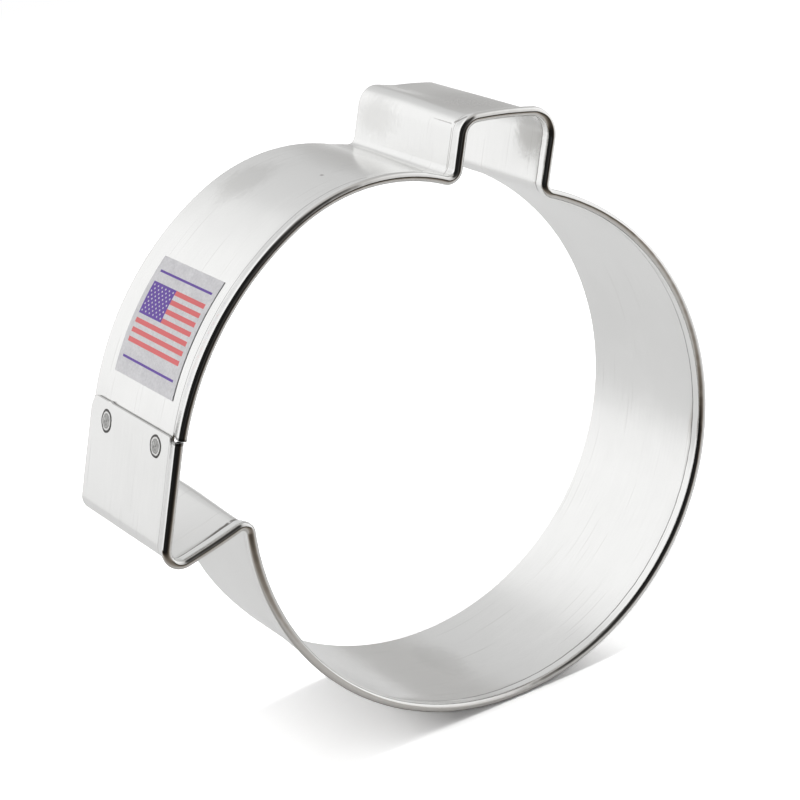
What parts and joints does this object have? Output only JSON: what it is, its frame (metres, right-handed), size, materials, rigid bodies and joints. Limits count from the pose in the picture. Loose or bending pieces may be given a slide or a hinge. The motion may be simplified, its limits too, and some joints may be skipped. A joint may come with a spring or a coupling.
{
  "type": "cookie cutter",
  "caption": "Cookie cutter bent from a tinned-steel strip: round body with a square tab and a corner flap, rolled grip edge, spot-welded lap seam and foil label.",
  "frame": {"origin": "middle of the bounding box in X and Y, on the plane of the cutting edge", "axes": "+Z along the strip's depth, from the cutting edge to the rolled edge; +Y along the tab's walls, from the body to the tab's top; +X to the right, away from the seam's straight wall"},
  "size_m": [0.0804, 0.0806, 0.0254],
  "materials": {
    "tinned_steel": "bright tinned sheet steel with a fine rolling grain",
    "weld_steel": "bare steel marks left by spot-welding electrodes",
    "label_foil": "satin silver-grey film with a printed pattern"
  },
  "bodies": {
    "root": {"strip_band": "tinned_steel", "front_weld": "weld_steel", "rear_weld": "weld_steel", "foil_label": "label_foil"}
  },
  "joints": []
}
